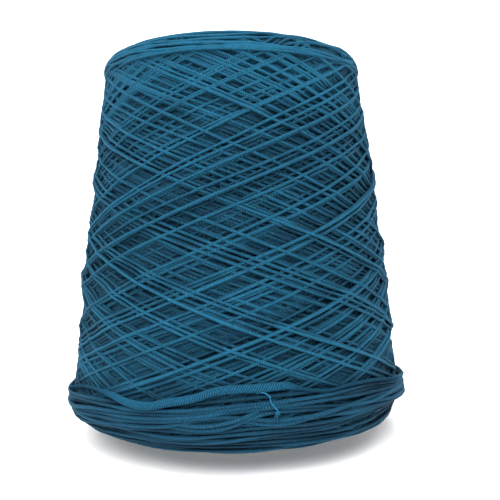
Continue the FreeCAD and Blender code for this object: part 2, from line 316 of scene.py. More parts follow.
@dataclass
class PackageSurface:
    """The surface of revolution that the thread lies on, under its outer turns.

    A point of it is (travel_mm, angle, height_mm). travel_mm runs along the
    section: outwards over the base face, round the base edge, up the side,
    round the nose edge and inwards over the nose face. angle is 0 at the
    front, -Y, and grows towards +X. height_mm stands square to the surface.
    """
    half_angle: float = math.radians(5.95)
    bed_mm: float = 4.6             # the outer turns' depth, which this surface leaves room for
    crown_mm: float = 1.2
    flare_mm: float = 2.0           # how far the side spreads out towards the base
    nose_round_mm: float = 3.4
    base_round_mm: float = 10.0
    base_inset: float = 0.15        # the shares of the bed by which the two end faces stand back
    nose_inset: float = 0.98
    step_mm: float = 0.25
    face_points: int = 60
    arc_points: int = 24
    side_points: int = 200
    travel: Array = field(init=False, repr=False)
    radius: Array = field(init=False, repr=False)
    level: Array = field(init=False, repr=False)
    out_r: Array = field(init=False, repr=False)
    out_z: Array = field(init=False, repr=False)
    side_start: float = field(init=False)
    side_end: float = field(init=False)
    length: float = field(init=False)
    core_radius: float = field(init=False)

    def __post_init__(self) -> None:
        """Works out the section from the CAD nodes' boxes."""
        _, core_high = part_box("paper_core")
        first_low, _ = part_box(STAGE_NODES[0])
        _, outer_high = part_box(STAGE_NODES[-1])
        sin_a, cos_a = math.sin(self.half_angle), math.cos(self.half_angle)
        self.core_radius = core_high.x / MM
        start = first_low.z / MM / cos_a
        build = (outer_high.x / MM - self.core_radius + start * sin_a) / cos_a
        end = (outer_high.z / MM - build * sin_a) / cos_a
        s, n, w = self._section(start + self.bed_mm * self.base_inset,
                                end - self.bed_mm * self.nose_inset, build - self.bed_mm)
        gone = np.concatenate([[0.0], np.cumsum(np.hypot(np.diff(s), np.diff(n)))])
        self.length = float(gone[-1])
        self.travel = np.arange(0.0, self.length, self.step_mm)
        s, n, w = (np.interp(self.travel, gone, values) for values in (s, n, w))
        self.radius = self.core_radius - s * sin_a + n * cos_a
        self.level = s * cos_a + n * sin_a
        normal_n, normal_s = np.cos(w), np.sin(w)
        self.out_r = normal_n * cos_a - normal_s * sin_a
        self.out_z = normal_n * sin_a + normal_s * cos_a
        last_of_base = self.face_points + self.arc_points - 1
        self.side_start = float(gone[last_of_base])
        self.side_end = float(gone[last_of_base + self.side_points])

    def _section(self, start: float, end: float, depth: float) -> tuple[Array, Array, Array]:
        """The section's outline, from the core over the base face, the side and the nose face.

        Args:
            start: Where the base face lies, in millimetres along the core's side.
            end: Where the nose face lies.
            depth: How far the side stands out from the core's.

        Returns:
            Each point's place along the core's side, its distance out from it,
            and the angle of its outward direction.
        """
        base, nose = self.base_round_mm, self.nose_round_mm
        low_depth = depth + self.flare_mm
        quarter = np.linspace(0.0, math.pi / 2, self.arc_points)
        side = np.linspace(start + base, end - nose, self.side_points)
        share = (side - side[0]) / (side[-1] - side[0])
        crown = 4 * self.crown_mm * share * (1 - share) + self.flare_mm * (1 - share) ** 2
        level_face = np.ones(self.face_points)
        stretches = (
            (start * level_face, np.linspace(0.0, low_depth - base, self.face_points),
             -math.pi / 2 * level_face),
            (start + base - base * np.cos(quarter), low_depth - base + base * np.sin(quarter),
             quarter - math.pi / 2),
            (side, depth + crown, np.zeros(self.side_points)),
            (end - nose + nose * np.sin(quarter), depth - nose + nose * np.cos(quarter), quarter),
            (end * level_face, np.linspace(depth - nose, 0.0, self.face_points),
             math.pi / 2 * level_face))
        along, out, turn = (np.concatenate(part) for part in zip(*stretches))
        return along, out, turn

    def radius_at(self, travel: Array) -> Array:
        """Radius in millimetres at these travels."""
        return np.interp(travel, self.travel, self.radius)

    def travel_at(self, level: Array) -> Array:
        """Travel of these levels on the side and the base edge, in millimetres."""
        side = ((self.travel >= self.side_start - 1.45 * self.base_round_mm)
                & (self.travel <= self.side_end))
        return np.interp(level, self.level[side], self.travel[side])

    def place(self, travel: Array, angle: Array, height: Array) -> tuple[Array, Array]:
        """Points and outward directions in the frame.

        Args:
            travel: Millimetres along the section.
            angle: Radians round the axis from the front.
            height: Millimetres out from the surface.

        Returns:
            Points in millimetres and unit outward directions, both n by 3.
        """
        out_r = np.interp(travel, self.travel, self.out_r)
        out_z = np.interp(travel, self.travel, self.out_z)
        radius = np.interp(travel, self.travel, self.radius) + out_r * height
        level = np.interp(travel, self.travel, self.level) + out_z * height
        sin_p, cos_p = np.sin(angle), np.cos(angle)
        points = np.stack([radius * sin_p, -radius * cos_p, level], axis=1)
        normals = np.stack([out_r * sin_p, -out_r * cos_p, out_z], axis=1)
        return points, normals


@dataclass
class ThreadRun:
    """A stretch of thread: where its middle line runs and how it looks."""
    travel: Array
    angle: Array
    height: Array
    width_mm: float
    thick_mm: float
    tone: float = 1.0


class Relief:
    """The height of the thread laid so far, over the whole package surface."""

    def __init__(self, surface: PackageSurface, cell_mm: float = 0.3, columns: int = 1440,
                 squeeze: float = 0.70, level_mm: float = 4.0) -> None:
        """Starts with a bare surface.

        Args:
            surface: The surface that the thread lies on.
            cell_mm: A cell's size along the section.
            columns: Cells round the package.
            squeeze: The share of its thickness that a thread keeps under later turns.
            level_mm: How broad the level is over which a high place stands out.
        """
        self.surface = surface
        self.level_mm = level_mm
        self.cell_mm = cell_mm
        self.columns = columns
        self.squeeze = squeeze
        self.rows = int(surface.length / cell_mm) + 2
        self.height = np.zeros((self.rows, columns), np.float32)

    def cells(self, travel: Array, angle: Array) -> tuple[Array, Array]:
        """Row and column of each place."""
        row = np.clip((travel / self.cell_mm).round().astype(int), 0, self.rows - 1)
        column = np.mod((angle / TURN * self.columns).round().astype(int), self.columns)
        return row, column

    def _across(self, travel: Array, angle: Array, half_mm: float,
                share: Array) -> tuple[Array, Array]:
        """Cells across the thread, for each of its points."""
        radius = self.surface.radius_at(travel)
        ahead_t = np.gradient(travel)
        ahead_a = np.gradient(angle) * radius
        size = np.maximum(np.hypot(ahead_t, ahead_a), 1e-6)
        side = share[None, :] * half_mm
        places_t = travel[:, None] + side * (ahead_a / size)[:, None]
        places_a = angle[:, None] - side * (ahead_t / size / radius)[:, None]
        return self.cells(places_t, places_a)

    def _round_top(self, travel: Array, angle: Array, width_mm: float, thick_mm: float,
                   share: Array) -> tuple[Array, Array, Array]:
        """Cells across the thread, and how far its round top stands over its middle line."""
        row, column = self._across(travel, angle, width_mm / 2, share)
        return row, column, self.squeeze * thick_mm / 2 * np.sqrt(1 - share ** 2)

    def lay(self, travel: Array, angle: Array, width_mm: float, thick_mm: float,
            pull: float | Array, first_height: float | None = None, lead: int = 12,
            press: float = 0.5, smooth_mm: float = 1.1) -> Array:
        """Lays a thread on what is there, and gives its middle line's height.

        The thread is a string under tension: it rests on the highest places,
        presses into them, and runs nearly straight between them.

        Args:
            travel: Millimetres along the section, a point every third of a millimetre.
            angle: Radians round the axis.
            width_mm: The thread's width.
            thick_mm: The thread's thickness.
            pull: How sharply it dips between supports, in 1/mm.
            first_height: The height it starts from, where it goes on from another run.
            lead: How many first points keep that height.
            press: How much of a high place's prominence gives way under it.
            smooth_mm: How far the thread's stiffness rounds its bends.

        Returns:
            The height of each point of the middle line.
        """
        row, column, rise = self._round_top(travel, angle, width_mm, thick_mm,
                                            np.linspace(-0.8, 0.8, 7))
        rest = (self.height[row, column] + rise[None, :]).max(axis=1).astype(float)
        spacing = path_spacing(self.surface, travel, angle)
        level = blur_line(rest, self.level_mm / spacing)
        rest -= press * np.maximum(rest - level, 0.0)
        if first_height is not None:
            rest[:lead] = first_height
        along = np.arange(len(rest)) * spacing
        bend = np.cumsum(np.cumsum(np.broadcast_to(np.asarray(pull, float), rest.shape))) * spacing ** 2
        taut = upper_hull(along, rest - bend) + bend
        return blur_line(taut, smooth_mm / spacing)

    def stamp(self, travel: Array, angle: Array, height: Array, width_mm: float,
              thick_mm: float) -> None:
        """Raises the relief where this thread lies."""
        row, column, rise = self._round_top(travel, angle, width_mm, thick_mm,
                                            np.linspace(-0.95, 0.95, 9))
        np.maximum.at(self.height, (row, column), (height[:, None] + rise[None, :]).astype(np.float32))

    def settle(self, keep: float, runs: Iterable[ThreadRun], reach_mm: float = 6.0) -> None:
        """Squeezes what is laid towards its own broad level, as later tension does.

        Args:
            keep: The share of each rise and dip that stays.
            runs: The runs that lie in the relief, which move with it.
            reach_mm: How broad the level is.
        """
        level = box_blur(self.height, int(reach_mm / self.cell_mm))
        for run in runs:
            base = level[self.cells(run.travel, run.angle)]
            run.height = base + (run.height - base) * keep
        self.height = (level + (self.height - level) * keep).astype(np.float32)

    def press(self, runs: Iterable[ThreadRun], edge: tuple[float, float], level: float,
              keep: float) -> None:
        """Presses the pile near one edge towards the side's own level.

        Args:
            runs: The runs that lie in the relief.
            edge: The travel where it starts and the travel where it is full.
            level: The level in millimetres that it is pressed towards.
            keep: The share of the rise above that level that stays.
        """
        def pressed(travel: Array, height: Array) -> Array:
            """The heights after pressing."""
            share = np.clip((travel - edge[0]) / (edge[1] - edge[0]), 0.0, 1.0) * (1.0 - keep)
            return height - share * np.maximum(height - level, 0.0)

        for run in runs:
            run.height = pressed(run.travel, run.height)
        travel = np.arange(self.rows)[:, None] * self.cell_mm
        self.height = pressed(travel, self.height).astype(np.float32)

    def side_level(self, margin_mm: float = 20.0) -> float:
        """The mean height on the side, away from the edges."""
        first = int((self.surface.side_start + margin_mm) / self.cell_mm)
        last = int((self.surface.side_end - margin_mm) / self.cell_mm)
        return float(self.height[first:last].mean())

    def crest(self, reach_mm: float = 2.6) -> Array:
        """The relief's own envelope: the highest cell within reach of each."""
        reach = int(reach_mm / self.cell_mm)
        high = self.height.copy()
        for shift in range(1, reach + 1):
            high = np.maximum(high, np.maximum(np.roll(self.height, shift, 1),
                                               np.roll(self.height, -shift, 1)))
        across = high.copy()
        for shift in range(1, reach + 1):
            across[shift:] = np.maximum(across[shift:], high[:-shift])
            across[:-shift] = np.maximum(across[:-shift], high[shift:])
        return box_blur(across, reach)

    def buried(self, run: ThreadRun, by_mm: float) -> Array:
        """Which points of a run lie at least that far under other thread, over their whole width."""
        row, column = self._across(run.travel, run.angle, run.width_mm / 2, np.linspace(-1.0, 1.0, 5))
        cover = self.height[row, column].min(axis=1)
        return cover > run.height + self.squeeze * run.thick_mm / 2 + by_mm


def path_spacing(surface: PackageSurface, travel: Array, angle: Array) -> float:
    """The mean distance between a path's points in millimetres."""
    radius = surface.radius_at(travel)
    steps = np.hypot(np.diff(travel), np.diff(angle) * (radius[1:] + radius[:-1]) / 2)
    return max(float(steps.mean()), 1e-3)


def blur_line(values: Array, sigma: float) -> Array:
    """Smooths a row of values.

    Args:
        values: Evenly spaced values.
        sigma: The blur's width in values.

    Returns:
        As many smoothed values.
    """
    reach = max(1, int(3 * sigma))
    kernel = np.exp(-0.5 * (np.arange(-reach, reach + 1) / max(sigma, 1e-3)) ** 2)
    padded = np.pad(values, reach, mode="edge")
    return np.convolve(padded, kernel / kernel.sum(), mode="valid")


def box_blur(grid: Array, reach: int) -> Array:
    """Averages a grid over a square, which wraps round its columns.

    Args:
        grid: Rows along the section, columns round the package.
        reach: Half the square's side in cells.

    Returns:
        The averaged grid.
    """
    size = 2 * reach + 1
    for _ in range(2):
        wide = np.concatenate([grid[:, -reach:], grid, grid[:, :reach]], axis=1).astype(np.float64)
        total = np.cumsum(np.pad(wide, ((0, 0), (1, 0))), axis=1)
        grid = (total[:, size:] - total[:, :-size]) / size
        tall = np.pad(grid, ((reach, reach), (0, 0)), mode="edge")
        total = np.cumsum(np.pad(tall, ((1, 0), (0, 0))), axis=0)
        grid = (total[size:] - total[:-size]) / size
    return grid


def upper_hull(along: Array, values: Array) -> Array:
    """The lowest concave line that lies on or above every value.

    Args:
        along: Rising positions.
        values: The value at each position.

    Returns:
        The hull's value at each position.
    """
    xs, ys = along.tolist(), values.tolist()
    keep: list[int] = []
    for index in range(len(xs)):
        while len(keep) >= 2:
            a, b = keep[-2], keep[-1]
            if (ys[b] - ys[a]) * (xs[index] - xs[a]) <= (ys[index] - ys[a]) * (xs[b] - xs[a]):
                keep.pop()
            else:
                break
        keep.append(index)
    return np.interp(along, along[keep], values[keep])


def slow_noise(rng: np.random.Generator, places: Array, spacing: float) -> Array:
    """Smooth random values near -1 to 1 that change over about one spacing.

    Args:
        rng: The source of random numbers.
        places: Rising positions.
        spacing: The distance between free values, in the same units.

    Returns:
        One value per place.
    """
    first, last = float(places[0]), float(places[-1])
    count = max(4, int((last - first) / spacing) + 3)
    knots = np.linspace(first - spacing, last + spacing, count)
    values = rng.uniform(-1, 1, count)
    where = np.interp(places, knots, np.arange(count))
    low = np.clip(where.astype(int), 0, count - 2)
    part = where - low
    ease = part * part * (3 - 2 * part)
    return values[low] * (1 - ease) + values[low + 1] * ease


def through(knots: Sequence[float], values: Sequence[float], places: Array) -> Array:
    """A smooth curve through given values.

    Args:
        knots: Rising positions.
        values: The value at each.
        places: Where the curve is wanted.

    Returns:
        The curve's values.
    """
    x, y = np.asarray(knots, float), np.asarray(values, float)
    slope = np.gradient(y, x)
    low = np.clip(np.searchsorted(x, places) - 1, 0, len(x) - 2)
    gap = x[low + 1] - x[low]
    t = np.clip((places - x[low]) / gap, 0.0, 1.0)
    rise = t * t * (3 - 2 * t)
    return (y[low] * (1 - rise) + y[low + 1] * rise
            + gap * slope[low] * t * (1 - t) ** 2 - gap * slope[low + 1] * t * t * (1 - t))


# ------------------------------------------------------------------- threads

@dataclass
class ThreadMesh:
    """Gathers tubes of thread into one mesh."""
    name: str
    sides: int = 8
    points: list[Array] = field(default_factory=list)
    faces: list[Array] = field(default_factory=list)
    lay: list[Array] = field(default_factory=list)
    tones: list[Array] = field(default_factory=list)
    painted_light_values: list[Array] = field(default_factory=list)
    rows: list[tuple[int, float]] = field(default_factory=list)
    count: int = 0

    def add(self, centre: Array, outward: Array, width_mm: float | Array, thick_mm: float | Array,
            tone: float = 1.0, depth: Array | None = None, start_mm: float = 0.0,
            flank_shade: float | Array = 0.3) -> None:
        """Adds one closed tube.

        Args:
            centre: Middle line in millimetres, n by 3.
            outward: A direction away from what it lies on at each point, n by 3.
            width_mm: Width, one value or one per point.
            thick_mm: Thickness, one value or one per point.
            tone: The strand's own lightness.
            depth: How much painted light each point's colour gets, 0 to 1; lower values are painted
                shade.
            start_mm: Where its twist starts.
            flank_shade: How much painted shade its flanks get, for the light they lose to what lies
                beside it.
        """
        n, k = len(centre), self.sides
        if n < 2:
            return
        side, up = thread_frame(centre, outward)
        half_w = np.broadcast_to(np.asarray(width_mm, float) / 2, (n,))
        half_t = np.broadcast_to(np.asarray(thick_mm, float) / 2, (n,))
        turn = np.arange(k) / k * TURN
        ring = (centre[:, None, :]
                + side[:, None, :] * (half_w[:, None] * np.cos(turn)[None, :])[..., None]
                + up[:, None, :] * (half_t[:, None] * np.sin(turn)[None, :])[..., None])
        index = self.count + np.arange(n)[:, None] * k + np.arange(k)[None, :]
        beside = np.roll(index, -1, axis=1)
        quads = np.stack([index[:-1], beside[:-1], beside[1:], index[1:]], axis=-1)
        steps = np.linalg.norm(np.diff(centre, axis=0), axis=1)
        along = start_mm + np.concatenate([[0.0], np.cumsum(steps)])
        around = np.arange(k + 1) / k
        self.points.append(ring.reshape(-1, 3))
        self.faces.append(quads.reshape(-1, 4))
        self.lay.append(strip_places(along[:-1], along[1:], around[:k], around[1:]))
        self.tones.append(np.full(n * k, tone))
        # Painted shade: the flanks that face sideways or down are given darker colour.
        open_sky = 1.0 - np.broadcast_to(np.asarray(flank_shade, float), (n,))[:, None] \
            * (1.0 - np.clip(np.sin(turn), 0.0, 1.0))[None, :]
        open_sky = np.clip(open_sky, 0.0, 1.0)
        self.painted_light_values.append(((np.ones(n) if depth is None else depth)[:, None] * open_sky).ravel())
        self.rows.append((n - 1, float(steps.mean())))
        self.count += n * k

    def build(self, material: bpy.types.Material) -> bpy.types.Object:
        """Makes the object, with its thread and bake maps.

        Args:
            material: The yarn's finish.

        Returns:
            The new object, linked into the scene.
        """
        points = np.concatenate(self.points) * MM
        quads, caps = np.concatenate(self.faces), self._caps()
        mesh = bpy.data.meshes.new(self.name)
        mesh.vertices.add(len(points))
        mesh.vertices.foreach_set("co", points.astype(np.float32).ravel())
        loops = np.concatenate([quads.ravel(), caps.ravel()]).astype(np.int32)
        starts = np.concatenate([np.arange(len(quads)) * 4,
                                 len(quads) * 4 + np.arange(len(caps)) * self.sides])
        mesh.loops.add(len(loops))
        mesh.loops.foreach_set("vertex_index", loops)
        mesh.polygons.add(len(starts))
        mesh.polygons.foreach_set("loop_start", starts.astype(np.int32))
        mesh.update(calc_edges=True)
        mesh.polygons.foreach_set("use_smooth", np.ones(len(starts), bool))
        spare = np.zeros((len(caps) * self.sides, 2))
        for name, places in ((LAY_MAP, np.concatenate(self.lay).reshape(-1, 2)),
                             (BAKE_MAP, self._bake_places())):
            layer = mesh.uv_layers.new(name=name)
            layer.data.foreach_set("uv", np.concatenate([places, spare]).astype(np.float32).ravel())
        # The "depth" attribute carries the painted shade that the yarn's colour is mixed by.
        for name, values in (("tone", self.tones), ("depth", self.painted_light_values)):
            layer = mesh.attributes.new(name, "FLOAT", "POINT")
            layer.data.foreach_set("value", np.concatenate(values).astype(np.float32))
        mesh.materials.append(material)
        thing = add_object(self.name, mesh)
        log.info("%s: %d tubes, %d triangles", self.name, len(self.rows), 2 * len(quads))
        return thing

    def _caps(self) -> Array:
        """The faces that close each tube's two ends."""
        caps, base = [], 0
        for quads_along, _ in self.rows:
            last = base + quads_along * self.sides
            caps.append(np.arange(base + self.sides - 1, base - 1, -1))
            caps.append(np.arange(last, last + self.sides))
            base = last + self.sides
        return np.array(caps)

    def _bake_places(self) -> Array:
        """Lays every tube out flat as strips in rows, so that the whole map is used."""
        total = sum(rings for rings, _ in self.rows)
        step = max(length for _, length in self.rows)
        per_row = max(8, int(math.sqrt(total * step * 5.0) / step))
        row_count = math.ceil(total / per_row)
        number, k = np.arange(total), self.sides
        x0 = (number % per_row) / per_row
        y0 = (number // per_row) / row_count
        across = (0.06 + 0.88 * np.arange(k + 1) / k) / row_count
        uv = strip_places(x0, x0 + 1.0 / per_row, across[:k], across[1:])[..., ::-1]
        uv[..., 1] += y0[:, None, None]
        return uv.reshape(-1, 2)


def strip_places(low: Array, high: Array, left: Array, right: Array) -> Array:
    """Map corners for a tube's faces: across the strip first, then along it.

    Args:
        low: Each ring's start along the strip.
        high: Each ring's end along the strip.
        left: Each side's start across the strip.
        right: Each side's end across the strip.

    Returns:
        Corner places, rings by sides by four by two.
    """
    uv = np.empty((len(low), len(left), 4, 2))
    uv[:, :, (0, 3), 0] = left[None, :, None]
    uv[:, :, (1, 2), 0] = right[None, :, None]
    uv[:, :, (0, 1), 1] = low[:, None, None]
    uv[:, :, (2, 3), 1] = high[:, None, None]
    return uv


def thread_frame(centre: Array, outward: Array) -> tuple[Array, Array]:
    """Directions across a thread at each of its points.

    Args:
        centre: Its middle line, n by 3.
        outward: A direction away from what it lies on at each point.

    Returns:
        Sideways and outward unit directions, both square to the thread.
    """
    ahead = np.gradient(centre, axis=0)
    ahead /= np.linalg.norm(ahead, axis=1, keepdims=True)
    side = np.cross(ahead, outward)
    side /= np.linalg.norm(side, axis=1, keepdims=True)
    return side, np.cross(side, ahead)


def even_rings(surface: PackageSurface, run: ThreadRun, ring_mm: float) -> tuple[ThreadRun, Array]:
    """The same run with evenly spaced points.

    Args:
        surface: The surface that the run lies on.
        run: The run.
        ring_mm: The distance wanted between points.

    Returns:
        The new run and how far along it each point is.
    """
    points, _ = surface.place(run.travel, run.angle, run.height)
    gone = np.concatenate([[0.0], np.cumsum(np.linalg.norm(np.diff(points, axis=0), axis=1))])
    at = np.linspace(0.0, gone[-1], max(3, int(gone[-1] / ring_mm)))
    travel, angle, height = (np.interp(at, gone, v) for v in (run.travel, run.angle, run.height))
    return ThreadRun(travel, angle, height, run.width_mm, run.thick_mm, run.tone), at


@dataclass
class YarnLayer:
    """A part of the package that lays its thread on the relief and makes its meshes."""
    surface: PackageSurface
    relief: Relief
    seed: int = 4
    ring_mm: float = 1.1
    sides: int = 8
    uneven: float = 0.13            # how much the thread's thickness wanders
    # Painted shade: a thread's colour is painted darker the further it lies under the envelope, and its
    # flanks darker still.
    sunk_from_mm: float = -0.25     # a thread's top this far under the envelope starts to darken
    sunk_over_mm: float = 1.7       # and is darkest this much deeper
    sunk_flank_shade: float = 0.8         # how much light the deepest thread's flanks lose
    seen_beside: int = 5            # points kept round each that can be seen
    shortest: int = 3               # points in the shortest stretch that is drawn
    runs: list[ThreadRun] = field(default_factory=list)

    def emit(self, name: str, runs: Sequence[ThreadRun], crest: Array, material: bpy.types.Material,
             buried_mm: float = 0.5, shading: float = 0.62, flank_shade: float = 0.44) -> bpy.types.Object:
        """Makes one mesh of the parts of some runs that can be seen.

        Args:
            name: The piece's name.
            runs: The runs in it.
            crest: The relief's envelope.
            material: The yarn's finish.
            buried_mm: How deep thread may lie and still be kept.
            shading: How much darker the deepest thread's colour is painted, as painted shade.
            flank_shade: How much darker the top thread's flanks are painted, as painted shade.

        Returns:
            The new piece.
        """
        mesh = ThreadMesh(name, self.sides)
        rng = np.random.default_rng(self.seed + 1000)
        start_mm = 0.0
        for run in runs:
            even, at = even_rings(self.surface, run, self.ring_mm)
            seen = ~self.relief.buried(even, buried_mm)
            seen = np.convolve(seen.astype(float), np.ones(self.seen_beside), mode="same") > 0
            under = crest[self.relief.cells(even.travel, even.angle)] - even.height - run.thick_mm / 2
            # Painted shade from how deep each point lies under the envelope.
            sunk = np.clip((under - self.sunk_from_mm) / self.sunk_over_mm, 0.0, 1.0)
            light = 1.0 - shading * sunk
            size = 1.0 + self.uneven * (slow_noise(rng, at, 7.0) + 0.6 * slow_noise(rng, at, 2.2))
            centre, outward = self.surface.place(even.travel, even.angle, even.height)
            edges = np.flatnonzero(np.diff(np.concatenate([[0], seen.astype(int), [0]])))
            for first, last in zip(edges[::2], edges[1::2]):
                if last - first >= self.shortest:
                    part = slice(first, last)
                    mesh.add(centre[part], outward[part], run.width_mm * size[part],
                             run.thick_mm * size[part], run.tone, light[part],
                             start_mm + float(at[first]),
                             flank_shade + (self.sunk_flank_shade - flank_shade) * sunk[part])
            start_mm += float(at[-1])
        return mesh.build(material)


@dataclass
class CrossWinding(YarnLayer):
    """The outer turns of the package: strokes up and down, laid one over another."""
    double_strokes: int = 200
    turns_per_stroke: float = 1.0
    width_mm: float = 1.25
    thick_mm: float = 1.08
    sample_mm: float = 0.34
    pull: float = 0.07
    edge_pull: float = 0.16         # the surface bends away at the edges, so the thread lies closer
    settle_each: int = 16           # double strokes between two settlings
    settle_keep: float = 0.84       # the share of each rise and dip that a settling leaves
    over_nose_mm: tuple[float, float] = (0.5, 9.0)      # how far strokes run on before they turn
    over_base_mm: tuple[float, float] = (-9.0, 1.0)
    groups: tuple[float, ...] = (0.26, 0.32, 0.26, 0.16)    # shares of one to four turns together
    next_group: tuple[float, float] = (0.061, 0.111)        # turns from group to group
    next_turn: tuple[float, float] = (0.0078, 0.0150)       # turns from thread to thread in one
    tones: tuple[float, float] = (0.76, 1.16)
    lead: int = 14                  # points that a stroke shares with the one before it
    turning: tuple[float, float] = (0.35, 0.8)      # radians over which a stroke turns back
    pieces: int = 15

    def _shifts(self, rng: np.random.Generator) -> list[float]:
        """How far each double stroke falls behind the last, in turns.

        The guide lays one to four turns side by side, then moves on.
        """
        shifts: list[float] = []
        while len(shifts) < self.double_strokes:
            beside = int(rng.choice(np.arange(len(self.groups)) + 1, p=self.groups))
            shifts.append(-float(rng.uniform(*self.next_group)))
            for _ in range(beside - 1):
                shifts.append(-float(rng.uniform(*self.next_turn)))
        return shifts[:self.double_strokes]

    def wind(self) -> None:
        """Lays every stroke."""
        rng = np.random.default_rng(self.seed)
        nose, base = self.surface.side_end, self.surface.side_start
        angle = float(rng.uniform(0, TURN))
        last_height: float | None = None
        tail: tuple | None = None
        lead, low, tone = self.lead, base, 1.0
        for number, shift in enumerate(self._shifts(rng)):
            high = nose + float(rng.uniform(*self.over_nose_mm))
            next_low = base + float(rng.uniform(*self.over_base_mm))
            for start, end in ((low, high), (high, next_low)):
                tone = 0.5 * tone + 0.5 * float(rng.uniform(*self.tones))
                travel, angles = self._stroke(rng, start, end, angle,
                                              self.turns_per_stroke + shift / 2)
                over_edge = (travel > nose - 1.0) | (travel < base + 1.0)
                heights = self.relief.lay(travel, angles, self.width_mm, self.thick_mm,
                                          np.where(over_edge, self.edge_pull, self.pull),
                                          last_height, lead)
                if tail is not None:
                    self.relief.stamp(*tail, self.width_mm, self.thick_mm)
                self.relief.stamp(travel[:-lead], angles[:-lead], heights[:-lead],
                                  self.width_mm, self.thick_mm)
                tail = (travel[-lead:], angles[-lead:], heights[-lead:])
                last_height = float(heights[-1])
                self.runs.append(ThreadRun(travel, angles, heights, self.width_mm,
                                           self.thick_mm, tone))
                angle = float(angles[-1])
            low = next_low
            if number % self.settle_each == self.settle_each - 1 \
                    and number < self.double_strokes - self.settle_each:
                self.relief.settle(self.settle_keep, self.runs)
                last_height, tail = float(self.runs[-1].height[-1]), None

    def _stroke(self, rng: np.random.Generator, start: float, end: float, angle: float,
                turns: float) -> tuple[Array, Array]:
        """One stroke from edge to edge.

        Args:
            rng: The source of random numbers.
            start: Travel at the stroke's start.
            end: Travel at its end.
            angle: Angle at its start.
            turns: How far round it goes.

        Returns:
            Travel and angle at even steps.
        """
        sweep = turns * TURN
        mean_radius = float(self.surface.radius_at(np.array([(start + end) / 2]))[0])
        length = math.hypot(sweep * mean_radius, end - start)
        part = np.linspace(0.0, 1.0, int(length / self.sample_mm))
        first, last = rng.uniform(*self.turning, 2) / sweep
        slope = np.clip(part / first, 0, 1) * np.clip((1 - part) / last, 0, 1)
        slope = slope * slope * (3 - 2 * slope)
        climb = np.concatenate([[0.0], np.cumsum((slope[1:] + slope[:-1]) / 2)])
        travel = start + (end - start) * climb / climb[-1]
        sway = slow_noise(rng, part * sweep, 0.9) * 0.6 + slow_noise(rng, part * sweep, 0.3) * 0.2
        return travel + sway * np.sin(np.pi * part) ** 0.5, angle + part * sweep

    def build(self, crest: Array, material: bpy.types.Material) -> list[bpy.types.Object]:
        """Makes the winding's pieces."""
        share = math.ceil(len(self.runs) / self.pieces)
        return [self.emit(f"cross_winding_{n + 1}", self.runs[n * share:(n + 1) * share], crest, material)
                for n in range(self.pieces)]


class EndZone(Enum):
    """The parts of the package where strokes turn back. Each value names that part's piece."""
    NOSE_FACE = "nose_face_turns"
    NOSE_TOP = "nose_face_last_turns"
    NOSE_EDGE = "nose_edge_turns"
    BASE_FACE = "base_face_turns"


@dataclass
class EndFaceTurns(YarnLayer):
    """The turning points of strokes, which cover an end zone of the package."""
    zone: EndZone = EndZone.NOSE_FACE
    first_mm: float = 0.0
    last_mm: float = 10.0
    step_mm: float = 0.5
    width_mm: float = 1.2
    thick_mm: float = 1.0
    cap_mm: float = 9.0             # how far an arc may stand off the ground under it
    sweep: tuple[float, float] = (1.2, 2.8)     # radians that an arc goes round
    dip_mm: tuple[float, float] = (2.0, 5.0)    # how far its ends turn aside
    wander_mm: float = 0.5
    end_sink_mm: float = 1.6        # how far its ends go down under others
    pull: float = 0.16
    soften: float = 3.0             # points over which its height is smoothed
    point_mm: float = 0.4
    fewest: int = 20
    ground_mm: float = 3.0          # how broadly the ground under it is averaged
    tones: tuple[float, float] = (0.96, 1.2)
    overrun_mm: tuple[float, float] = (4.0, 2.0)    # how far it may leave the zone's two ends

    def wind(self) -> None:
        """Lays the arcs in a mixed order, each with its ends let in under others."""
        rng = np.random.default_rng(self.seed)
        places = np.arange(self.first_mm, self.last_mm, self.step_mm)
        rng.shuffle(places)
        ground = box_blur(self.relief.height, int(self.ground_mm / self.relief.cell_mm))
        lowest, highest = self.first_mm - self.overrun_mm[0], self.last_mm + self.overrun_mm[1]
        for place in places:
            radius = float(self.surface.radius_at(np.array([place]))[0])
            sweep = float(rng.uniform(*self.sweep))
            part = np.linspace(0.0, 1.0, max(self.fewest, int(sweep * radius / self.point_mm)))
            dip = (2 * part - 1) ** 4 * float(rng.uniform(*self.dip_mm)) * float(rng.choice([-1, 1]))
            wander = slow_noise(rng, part * sweep, 0.5) * self.wander_mm
            travel = np.clip(place + dip + wander, lowest, highest)
            angle = rng.uniform(0, TURN) + part * sweep
            top = ground[self.relief.cells(travel, angle)] + self.cap_mm
            height = self.relief.lay(travel, angle, self.width_mm, self.thick_mm, self.pull,
                                     press=0.6)
            height = blur_line(np.minimum(height, top), self.soften)
            height = height - self.end_sink_mm * (2 * part - 1) ** 8
            self.relief.stamp(travel, angle, height, self.width_mm, self.thick_mm)
            self.runs.append(ThreadRun(travel, angle, height, self.width_mm, self.thick_mm,
                                       float(rng.uniform(*self.tones))))

    def build(self, crest: Array, material: bpy.types.Material) -> bpy.types.Object:
        """Makes the zone's one piece."""
        return self.emit(self.zone.value, self.runs, crest, material, buried_mm=0.4)


@dataclass(frozen=True)
class WrapLine:
    """Slack turns that run together: their level in front, by angle, and behind."""
    places: tuple[tuple[float, float], ...]
    behind: float
    beside: tuple[float, ...] = (0.0, 1.3)


